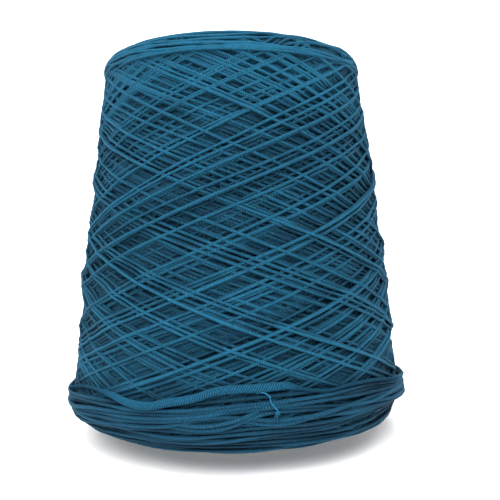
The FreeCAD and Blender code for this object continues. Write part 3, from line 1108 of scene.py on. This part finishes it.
@dataclass
class SlackWraps(YarnLayer):
    """The last, slack turns of the package, nearly level round its base."""
    width_mm: float = 1.45
    thick_mm: float = 1.3
    bulge_mm: float = 1.8           # how far they stand out from the cross winding
    slack_mm: float = 0.8           # how much that wanders
    side_bulge_mm: float = 1.5      # how much further they stand out at the two sides
    side_degrees: float = 74.0      # where that is most
    side_spread: float = 24.0       # degrees over which it fades
    lowest_mm: float = 10.7         # the lowest level of a wrap
    step_degrees: float = 70.0      # over how much of the back one turn steps to the next
    step_from: float = 110.0        # degrees from the front at which it starts to
    pull: float = 0.03
    tones: tuple[float, float] = (0.78, 1.06)
    tight: tuple[float, ...] = (10.8, 12.0, 13.4, 14.9, 16.4, 18.0,
                                11.4, 12.7, 14.2, 15.6, 11.1, 13.9)
    lines: tuple[WrapLine, ...] = (
        WrapLine(((-70, 16.0), (-45, 17.6), (-15, 17.6), (3, 19.0), (26, 19.4), (47, 20.3),
                  (70, 19.6)), 17.5),
        WrapLine(((-70, 18.4), (-42, 19.8), (-20, 20.6), (4, 21.4), (28, 21.4), (50, 21.4),
                  (70, 21.2)), 19.0),
        WrapLine(((-70, 19.6), (-45, 20.4), (-22, 21.7), (-4, 24.0), (10, 22.0), (28, 23.8),
                  (50, 24.4), (70, 23.4)), 20.5, (0.0, 1.0)),
        WrapLine(((-70, 20.6), (-44, 21.6), (-25, 22.4), (-2, 23.5), (8, 27.4), (18, 26.9),
                  (33, 24.7), (55, 23.0), (70, 22.4)), 21.5, (0.0, -1.2)),
        WrapLine(((-70, 20.8), (-47, 22.5), (-27, 23.3), (-8, 25.8), (5, 28.6), (18, 27.0),
                  (34, 24.7), (55, 24.6), (70, 24.0)), 22.0, (0.0,)),
        WrapLine(((-70, 22.2), (-45, 24.6), (-24, 25.6), (0, 27.8), (20, 29.0), (45, 28.4),
                  (70, 25.4)), 22.5, (0.0, -1.1)),
        WrapLine(((-70, 23.6), (-58, 25.4), (-35, 27.0), (-17, 28.5), (0, 30.6), (18, 31.4),
                  (45, 31.0), (70, 27.4)), 23.5, (-1.4, 0.0)),
    )

    def wind(self) -> None:
        """Lays one continuous thread, turn after turn, that steps from line to line behind."""
        rng = np.random.default_rng(self.seed)
        level_lines = [WrapLine(tuple((float(a), level) for a in range(-75, 76, 25)), level, (0.0,))
                       for level in self.tight]
        turns = [(line, aside) for line in (*level_lines, *self.lines) for aside in line.beside]
        ground = box_blur(self.relief.height, int(5.0 / self.relief.cell_mm))
        degrees = np.linspace(-180.0, 180.0, int(TURN * 70.0 / 0.4))
        for number, turn in enumerate(turns):
            after = turns[min(number + 1, len(turns) - 1)]
            part = np.clip((degrees - self.step_from) / self.step_degrees, 0.0, 1.0) * 0.5
            back = np.clip((-degrees - self.step_from) / self.step_degrees, 0.0, 1.0) * 0.5
            before = turns[max(number - 1, 0)]
            level = self._level(*turn, degrees)
            level = (level * (1 - part - back) + self._level(*after, degrees) * part
                     + self._level(*before, degrees) * back)
            level = np.maximum(level + 0.5 * slow_noise(rng, degrees, 17.0), self.lowest_mm)
            travel, angle = self.surface.travel_at(level), np.radians(degrees)
            rest = self.relief.lay(travel, angle, self.width_mm, self.thick_mm, self.pull,
                                   press=0.3)
            aside = (np.abs(degrees) - self.side_degrees) / self.side_spread
            out = self.bulge_mm + self.slack_mm * slow_noise(rng, degrees, 25.0) \
                + self.side_bulge_mm * np.exp(-aside ** 2)
            floor = ground[self.relief.cells(travel, angle)]
            height = blur_line(np.clip(rest, floor + 0.5, floor + out), 6.0)
            self.relief.stamp(travel, angle, height, self.width_mm, self.thick_mm)
            self.runs.append(ThreadRun(travel, angle, height, self.width_mm, self.thick_mm,
                                       float(rng.uniform(*self.tones))))

    @staticmethod
    def _level(line: WrapLine, aside: float, degrees: Array) -> Array:
        """A turn's level at each angle."""
        knots = [-180.0, -125.0, *(a for a, _ in line.places), 125.0, 180.0]
        levels = [line.behind, line.behind, *(z for _, z in line.places), line.behind, line.behind]
        return through(knots, levels, degrees) + aside

    def build(self, crest: Array, material: bpy.types.Material) -> list[bpy.types.Object]:
        """Makes the tight and the loose wraps' pieces."""
        cut = len(self.tight)
        # Painted shade: the slack wraps are painted darker where they lie deep and on their flanks.
        return [self.emit(name, runs, crest, material, buried_mm=0.8, shading=0.72, flank_shade=0.6)
                for name, runs in (("slack_wraps_tight", self.runs[:cut]),
                                   ("slack_wraps_loose", self.runs[cut:]))]


@dataclass
class FinishingStrand(YarnLayer):
    """The thread's end, doubled back and twisted, laid over the front of the slack wraps."""
    plies: int = 5
    ply_turn_mm: float = 4.5
    ply_mm: float = 0.80
    ply_ring_mm: float = 1.13       # the plies' middle lines lie on a ring of this radius
    full_thick_mm: float = 3.1      # the strand's thickness where its share is one
    bed_width_mm: float = 2.2       # the part of it that presses on what lies under it
    bed_thick_mm: float = 1.8
    bed_rise_mm: float = 0.63       # that part's own half height, which is taken off again
    stand_off: float = 0.40         # how far its middle stands over that, as a share of it
    end_sink_mm: float = 3.4        # how far both ends go down under the slack wraps
    sink_from: float = 62.0         # degrees from its middle at which they start to sink
    sink_degrees: float = 22.0
    middle: float = -4.0            # the middle's angle, in degrees
    # The core is drawn dark: painted shade in the gaps between the plies.
    core_mm: float = 1.9            # the dark heart that closes the gaps between the plies
    ring_step_mm: float = 0.33
    route: tuple[tuple[float, float, float], ...] = (
        # angle, level, share of the full thickness
        (-96, 17.0, 0.42), (-86, 20.0, 0.42), (-76, 23.4, 0.44), (-66, 26.8, 0.46), (-56, 29.0, 0.48),
        (-46, 29.7, 0.60), (-40, 29.2, 0.80), (-34, 28.0, 0.94), (-26, 27.7, 1.00), (-20, 29.4, 1.00),
        (-12, 31.4, 1.00), (-6, 33.8, 1.00), (0, 34.6, 1.00), (6, 34.6, 1.00), (11, 34.9, 1.00),
        (15, 34.8, 0.84), (18, 33.6, 0.56), (23, 32.2, 0.46), (28, 31.6, 0.42), (36, 32.2, 0.42),
        (51, 30.8, 0.42), (64, 28.0, 0.42), (77, 24.9, 0.42), (90, 21.0, 0.42), (98, 18.6, 0.42))

    def wind(self) -> None:
        """Lays the strand's middle line."""
        knots = [a for a, _, _ in self.route]
        degrees = np.linspace(knots[0], knots[-1], 900)
        level = through(knots, [z for _, z, _ in self.route], degrees)
        thick = self.full_thick_mm * through(knots, [t for _, _, t in self.route], degrees)
        part = (np.abs(degrees - self.middle) - self.sink_from) / self.sink_degrees
        part = np.clip(part, 0.0, 1.0)
        sink = -self.end_sink_mm * part * part * (3 - 2 * part)
        travel, angle = self.surface.travel_at(level), np.radians(degrees)
        bed = (self.bed_width_mm, self.bed_thick_mm)
        rest = self.relief.lay(travel, angle, *bed, 0.02, press=0.3)
        height = rest - self.bed_rise_mm + self.stand_off * thick + sink
        self.relief.stamp(travel, angle, height, *bed)
        self.runs.append(ThreadRun(travel, angle, height, *bed))

    def build(self, crest: Array, material: bpy.types.Material) -> bpy.types.Object:
        """Twists the plies round the middle line."""
        mesh = ThreadMesh("finishing_strand_plies", self.sides)
        run, at = even_rings(self.surface, self.runs[0], self.ring_step_mm)
        share = through([a for a, _, _ in self.route], [t for _, _, t in self.route],
                        np.degrees(run.angle))
        centre, outward = self.surface.place(run.travel, run.angle, run.height)
        side, up = thread_frame(centre, outward)
        ring, ply_mm = (share * self.ply_ring_mm)[:, None], share * self.ply_mm
        # Painted shade: the thin ends, which lie deeper, get darker colour, and each ply's flanks are
        # painted dark.
        light = 0.55 + 0.45 * np.clip((share - 0.4) / 0.4, 0.0, 1.0)    # its thin ends lie deeper
        for ply in range(self.plies):
            turn = TURN * (ply / self.plies + at / self.ply_turn_mm)
            away = side * np.cos(turn)[:, None] + up * np.sin(turn)[:, None]
            mesh.add(centre + ring * away, away, ply_mm, ply_mm, depth=light,
                     start_mm=ply * 3.1, flank_shade=1.5)
        # The core at half tone is painted shade between the plies.
        mesh.add(centre, outward, share * self.core_mm, share * self.core_mm, tone=0.5)
        return mesh.build(material)


@dataclass
class FrayedEnd:
    """One ply that has come out of the finishing strand, with its fibres fanned at the tip."""
    surface: PackageSurface
    relief: Relief
    seed: int = 9
    ply_mm: float = 0.5
    places: tuple[tuple[float, float, float], ...] = (
        # angle, level, how far it stands off
        (5.4, 33.0, 1.4), (6.6, 33.2, 2.0), (8.0, 32.8, 2.5), (8.9, 31.6, 2.6), (9.1, 30.0, 2.4),
        (9.8, 28.6, 2.3), (10.7, 27.2, 2.5))
    fibres: int = 16
    fibre_mm: float = 0.13          # thicker than a real 0.02 mm fibre, so that it shows
    fibre_points: int = 9
    fibre_length_mm: tuple[float, float] = (1.2, 2.9)

    def build(self, material: bpy.types.Material) -> bpy.types.Object:
        """Makes the ply and its fan of fibres."""
        rng = np.random.default_rng(self.seed)
        mesh = ThreadMesh("frayed_ply", 6)
        knots = np.arange(len(self.places), dtype=float)
        fine = np.linspace(0.0, knots[-1], 50)
        degrees, level, off = (through(knots, [p[i] for p in self.places], fine) for i in range(3))
        travel, angle = self.surface.travel_at(level), np.radians(degrees)
        ground = blur_line(self.relief.height[self.relief.cells(travel, angle)].astype(float), 8.0)
        centre, outward = self.surface.place(travel, angle, ground + off)
        mesh.add(centre, outward, self.ply_mm * (1.0 + 0.12 * np.sin(fine * 7)), self.ply_mm,
                 tone=1.35)
        for _ in range(self.fibres):
            length, lean = rng.uniform(*self.fibre_length_mm), rng.normal(0.0, 0.42)
            part = np.linspace(0.0, 1.0, self.fibre_points)
            reach = part * length
            tip = rng.normal(0.0, 0.25)
            line = np.stack([centre[-1, 0] + reach * math.sin(lean) + tip * part ** 2,
                             centre[-1, 1] - 0.25 * reach + rng.normal(0, 0.2) * part,
                             centre[-1, 2] - reach * math.cos(lean)], axis=1)
            mesh.add(line, np.tile(outward[-1], (self.fibre_points, 1)), self.fibre_mm,
                     self.fibre_mm, tone=1.4)
        return mesh.build(material)


@dataclass
class LooseFibres:
    """Fine fibre ends that stand off the yarn all over."""
    surface: PackageSurface
    relief: Relief
    seed: int = 12
    count: int = 4200
    fibre_mm: float = 0.07          # thicker than a real 0.02 mm fibre, so that it can be drawn
    length_mm: tuple[float, float] = (1.5, 5.0)
    lift_mm: tuple[float, float] = (0.2, 1.3)       # how far its arch stands off the yarn
    tones: tuple[float, float] = (1.0, 1.8)
    fibre_points: int = 7

    def build(self, material: bpy.types.Material) -> bpy.types.Object:
        """Makes every fibre."""
        rng = np.random.default_rng(self.seed)
        mesh = ThreadMesh("loose_fibres", 3)
        part = np.linspace(0.0, 1.0, self.fibre_points)
        for _ in range(self.count):
            travel = rng.uniform(self.surface.side_start - 4, self.surface.side_end + 12)
            angle = rng.uniform(-math.pi, math.pi)
            length, heading = rng.uniform(*self.length_mm), rng.uniform(0, TURN)
            radius = float(self.surface.radius_at(np.array([travel]))[0])
            bend = rng.normal(0.0, 1.2)
            turn = heading + bend * part
            t = travel + np.cumsum(np.cos(turn)) * length / self.fibre_points
            a = angle + np.cumsum(np.sin(turn)) * length / self.fibre_points / radius
            ground = float(self.relief.height[self.relief.cells(t[:1], a[:1])][0])
            lift = ground + rng.uniform(*self.lift_mm) * np.sin(part * rng.uniform(1.2, 3.0))
            centre, outward = self.surface.place(t, a, lift)
            mesh.add(centre, outward, self.fibre_mm, self.fibre_mm,
                     tone=float(rng.uniform(*self.tones)))
        return mesh.build(material)


@dataclass
class StartTurns:
    """The thread's start: three turns that grip the bare paper cone below the winding."""
    surface: PackageSurface
    turns: float = 3.3
    thread_mm: float = 1.75
    low_mm: float = 4.2
    step_mm: float = 1.85
    points: int = 760

    def build(self, material: bpy.types.Material) -> bpy.types.Object:
        """Makes the three turns."""
        mesh = ThreadMesh("start_turns_thread", 8)
        angle = np.linspace(0.0, self.turns * TURN, self.points)
        level = self.low_mm + self.step_mm * angle / TURN
        taper = math.tan(self.surface.half_angle)
        radius = self.surface.core_radius - level * taper + self.thread_mm / 2
        centre = np.stack([radius * np.sin(angle), -radius * np.cos(angle), level], axis=1)
        outward = np.stack([np.sin(angle), -np.cos(angle), np.zeros_like(angle)], axis=1)
        mesh.add(centre, outward, self.thread_mm, self.thread_mm)
        return mesh.build(material)


@dataclass
class InnerWinding:
    """The older turns under those that are drawn one by one, as one closed body."""
    surface: PackageSurface
    relief: Relief
    below_mm: float = 0.3           # how far under the lowest drawn thread it lies
    lowest: float = 12.0            # that thread's place in its ring's heights, in percent
    highest_mm: float = 3.0
    bare_mm: float = 2.0            # the section's two ends, where it stays on the surface
    thread_mm: float = 4.0          # how far apart its own threads seem to lie
    column_mm: float = 4.0          # a column's length along them, near enough
    columns: int = 96
    every: int = 8                  # the surface's steps from ring to ring
    tone: float = 1.0
    # Painted shade: the whole inner body's colour is painted dark.
    depth: float = 0.4              # little light reaches it

    def build(self, material: bpy.types.Material) -> bpy.types.Object:
        """Makes the body."""
        travel = self.surface.travel[::self.every]
        n, k = len(travel), self.columns
        angle = np.tile(np.arange(k) / k * TURN, n)
        lowest = np.percentile(self.relief.height, self.lowest, axis=1)
        lowest = blur_line(lowest, 4.0) - self.below_mm
        rows, _ = self.relief.cells(travel, travel)
        covered = (travel > self.bare_mm) & (travel < self.surface.length - self.bare_mm)
        rise = np.clip(lowest[rows], 0.0, self.highest_mm) * covered
        points, _ = self.surface.place(np.repeat(travel, k), angle, np.repeat(rise, k))
        index = np.arange(n)[:, None] * k + np.arange(k)[None, :]
        beside, above = np.roll(index, -1, axis=1), np.roll(index, -1, axis=0)
        quads = np.stack([index, beside, np.roll(beside, -1, axis=0), above], axis=-1).reshape(-1, 4)
        mesh = bpy.data.meshes.new("inner_winding")
        mesh.from_pydata((points * MM).tolist(), [], quads.tolist())
        mesh.polygons.foreach_set("use_smooth", np.ones(len(quads), bool))
        mesh.materials.append(material)
        for name, value in (("tone", self.tone), ("depth", self.depth)):
            layer = mesh.attributes.new(name, "FLOAT", "POINT")
            layer.data.foreach_set("value", np.full(n * k, value, np.float32))
        lay = mesh.uv_layers.new(name=LAY_MAP)
        loops = np.empty(len(mesh.loops), np.int32)
        mesh.loops.foreach_get("vertex_index", loops)
        row, column = loops // k, loops % k
        places = np.stack([travel[row] / self.thread_mm, column * self.column_mm], axis=1)
        lay.data.foreach_set("uv", places.astype(np.float32).ravel())
        return add_object("inner_winding", mesh)


# -------------------------------------------------------------------- studio

@dataclass
class Studio:
    """Plain pale sweep, soft light and the camera."""
    distance_mm: float = 297.0
    eye_mm: float = 92.0
    pitch: float = math.radians(-2.27)
    roll: float = math.radians(-0.91)
    yaw: float = math.radians(1.31)
    focal_frames: float = 1.3278    # focal length over the frame's width
    world_light: float = 0.32

    def camera(self) -> None:
        """Sets the camera in front of the package, at the height of its middle."""
        data = bpy.data.cameras.new("studio_camera")
        data.sensor_width = 36.0
        data.lens = self.focal_frames * data.sensor_width
        data.clip_start, data.clip_end = 0.01, 20.0
        cam = add_object("studio_camera", data)
        aim = Matrix.Rotation(-self.yaw, 4, "Z") @ Matrix.Rotation(math.pi / 2 + self.pitch, 4, "X")
        aim = aim @ Matrix.Rotation(self.roll, 4, "Z")
        place = Matrix.Translation((0.0, -self.distance_mm * MM, self.eye_mm * MM))
        cam.matrix_world = place @ aim
        bpy.context.scene.camera = cam

    def sweep(self) -> None:
        """A floor that curves up into a back wall, all one white sheet, in metres."""
        width, front, back, height, bend, steps = 3.0, -1.6, 1.5, 2.4, 0.6, 12
        profile = [(front, 0.0), (back - bend, 0.0)]
        for step in range(1, steps + 1):
            turn = step / steps * math.pi / 2
            profile.append((back - bend + bend * math.sin(turn), bend - bend * math.cos(turn)))
        profile.append((back, height))
        points = [(x, y, z) for y, z in profile for x in (-width, width)]
        faces = [(2 * i, 2 * i + 1, 2 * i + 3, 2 * i + 2) for i in range(len(profile) - 1)]
        mesh = bpy.data.meshes.new("studio_sweep")
        mesh.from_pydata(points, [], faces)
        mesh.polygons.foreach_set("use_smooth", [True] * len(faces))
        mesh.materials.append(PaintedGlowSheet().make())
        add_object("studio_sweep", mesh)

    @staticmethod
    def lamp(name: str, kind: str, towards: Sequence[float]) -> bpy.types.Object:
        """Adds a lamp of this kind, which shines from that direction."""
        lamp = add_object(name, bpy.data.lights.new(name, kind))
        lamp.rotation_mode = "QUATERNION"
        lamp.rotation_quaternion = Vector(towards).to_track_quat("Z", "Y")
        return lamp

    def light(self, name: str, place: Sequence[float], size: float, watts: float,
              aim: Sequence[float] = (0.0, 0.0, 0.09)) -> None:
        """Adds one soft box.

        Args:
            name: The light's name.
            place: Where it hangs, in metres.
            size: Its side in metres.
            watts: Its power.
            aim: The point that it faces.
        """
        lamp = self.lamp(name, "AREA", Vector(place) - Vector(aim))
        lamp.location = place
        lamp.data.shape = "SQUARE"
        lamp.data.size = size
        lamp.data.energy = watts

    def panel(self, name: str, towards: Sequence[float], strength: float, spread: float) -> None:
        """Adds a large, far panel that lights the sheet and the object evenly.

        Args:
            name: The light's name.
            towards: The direction in which it stands.
            strength: Its light, in W/m2.
            spread: How wide it looks, in degrees.
        """
        lamp = self.lamp(name, "SUN", towards)
        lamp.data.energy = strength
        lamp.data.angle = math.radians(spread)

    def build(self) -> None:
        """Sets up the whole studio."""
        self.camera()
        self.sweep()
        world = bpy.data.worlds.new("studio_world")
        world.use_nodes = True
        set_inputs(world.node_tree.nodes["Background"],
                   {"Color": linear("#FFFFFF"), "Strength": self.world_light})
        bpy.context.scene.world = world
        self.panel("front_sky_panel", (-0.14, -0.73, 0.76), 4.4, 40.0)
        self.light("top_soft_box", (0.0, -0.1, 1.1), 0.7, 5.0)
        self.light("nose_soft_box", (0.03, -0.30, 0.40), 0.25, 0.44, (0.0, -0.04, 0.15))
        bpy.context.scene.view_settings.view_transform = "Standard"


# ---------------------------------------------------------------------- main

def claim(piece: bpy.types.Object, *nodes: str) -> None:
    """Fixes a piece to the object's one body and hides the CAD nodes that it stands for."""
    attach(piece, BODY)
    if nodes:
        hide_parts(*nodes)
    log.info("claimed %s", piece.name)


def wind(relief: Relief, *layers: YarnLayer) -> None:
    """Winds these layers in order, each on what is there, and reports them."""
    for layer in layers:
        layer.wind()
        log.info("%s: %d runs, side level %.2f mm", type(layer).__name__, len(layer.runs),
                 relief.side_level())


def press_edges(surface: PackageSurface, relief: Relief, runs: Sequence[ThreadRun]) -> None:
    """Presses the pile of turning points at both edges towards the side's level.

    Args:
        surface: The surface that the thread lies on.
        relief: What is laid so far.
        runs: The runs that lie in it.
    """
    level = relief.side_level()
    for edge, starts, full, keep in ((surface.side_end, -30.0, -12.0, 0.12),
                                     (surface.side_start, 24.0, 12.0, 0.35)):
        relief.press(runs, (edge + starts, edge + full), level, keep)


def main() -> None:
    """Builds the yarn cone and its studio."""
    logging.basicConfig(level=logging.INFO, format="%(name)s: %(message)s")
    Studio().build()
    yarn = PliedCotton("cotton_yarn_plied").make()
    # A darker copy of the same yarn for the slack wraps and start turns: painted shade low round the
    # base.
    shaded_slack_yarn = PliedCotton("cotton_yarn_slack_shaded", ply_pitch_mm=3.3, groove_shade_show=1.0, body_hex="#194F6A",
                             shade_hex="#13455C").make()
    ply_yarn = PliedCotton("cotton_ply", groove_shade_show=0.25, ply_depth_mm=0.04, body_hex="#1E6083").make()
    surface = PackageSurface()
    relief = Relief(surface)
    nose = EndFaceTurns(surface, relief, seed=21, ring_mm=1.6, sides=6, zone=EndZone.NOSE_FACE,
                        first_mm=surface.side_end + 1.0, last_mm=surface.length - 1.0)
    base = EndFaceTurns(surface, relief, seed=22, ring_mm=1.6, sides=6, zone=EndZone.BASE_FACE,
                        first_mm=1.0, last_mm=surface.side_start - 4.0, step_mm=0.7)
    winding = CrossWinding(surface, relief)
    last_turns = EndFaceTurns(surface, relief, seed=23, zone=EndZone.NOSE_EDGE,
                              first_mm=surface.side_end - 1.0, last_mm=surface.side_end + 9.0,
                              step_mm=0.17, cap_mm=0.9, sweep=(2.0, 4.6))
    face_turns = EndFaceTurns(surface, relief, seed=24, zone=EndZone.NOSE_TOP,
                              first_mm=surface.side_end + 10.5, last_mm=surface.length - 1.5,
                              step_mm=0.17, cap_mm=1.4, sweep=(1.6, 3.4))
    slack = SlackWraps(surface, relief, seed=31)
    finish = FinishingStrand(surface, relief)
    wind(relief, nose, base, winding)
    press_edges(surface, relief, nose.runs + base.runs + winding.runs)
    wind(relief, last_turns, face_turns, slack, finish)
    crest = relief.crest()
    claim(nose.build(crest, yarn))
    claim(last_turns.build(crest, yarn))
    claim(face_turns.build(crest, yarn))
    claim(base.build(crest, yarn))
    for piece in winding.build(crest, yarn):
        claim(piece)
    claim(InnerWinding(surface, relief).build(yarn), *STAGE_NODES)
    tight, loose = slack.build(crest, shaded_slack_yarn)
    claim(tight, *(f"slack_wrap_{n:02d}" for n in range(1, 8)))
    claim(loose, *(f"slack_wrap_{n:02d}" for n in range(8, 13)))
    claim(finish.build(crest, ply_yarn), "finishing_strand")
    claim(FrayedEnd(surface, relief).build(ply_yarn))
    claim(LooseFibres(surface, relief).build(ply_yarn))
    claim(StartTurns(surface).build(shaded_slack_yarn), "start_turns")
    board = KraftBoard().make()
    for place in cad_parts["paper_core"].material_slots:
        place.material = board


if __name__ == "__main__":
    main()
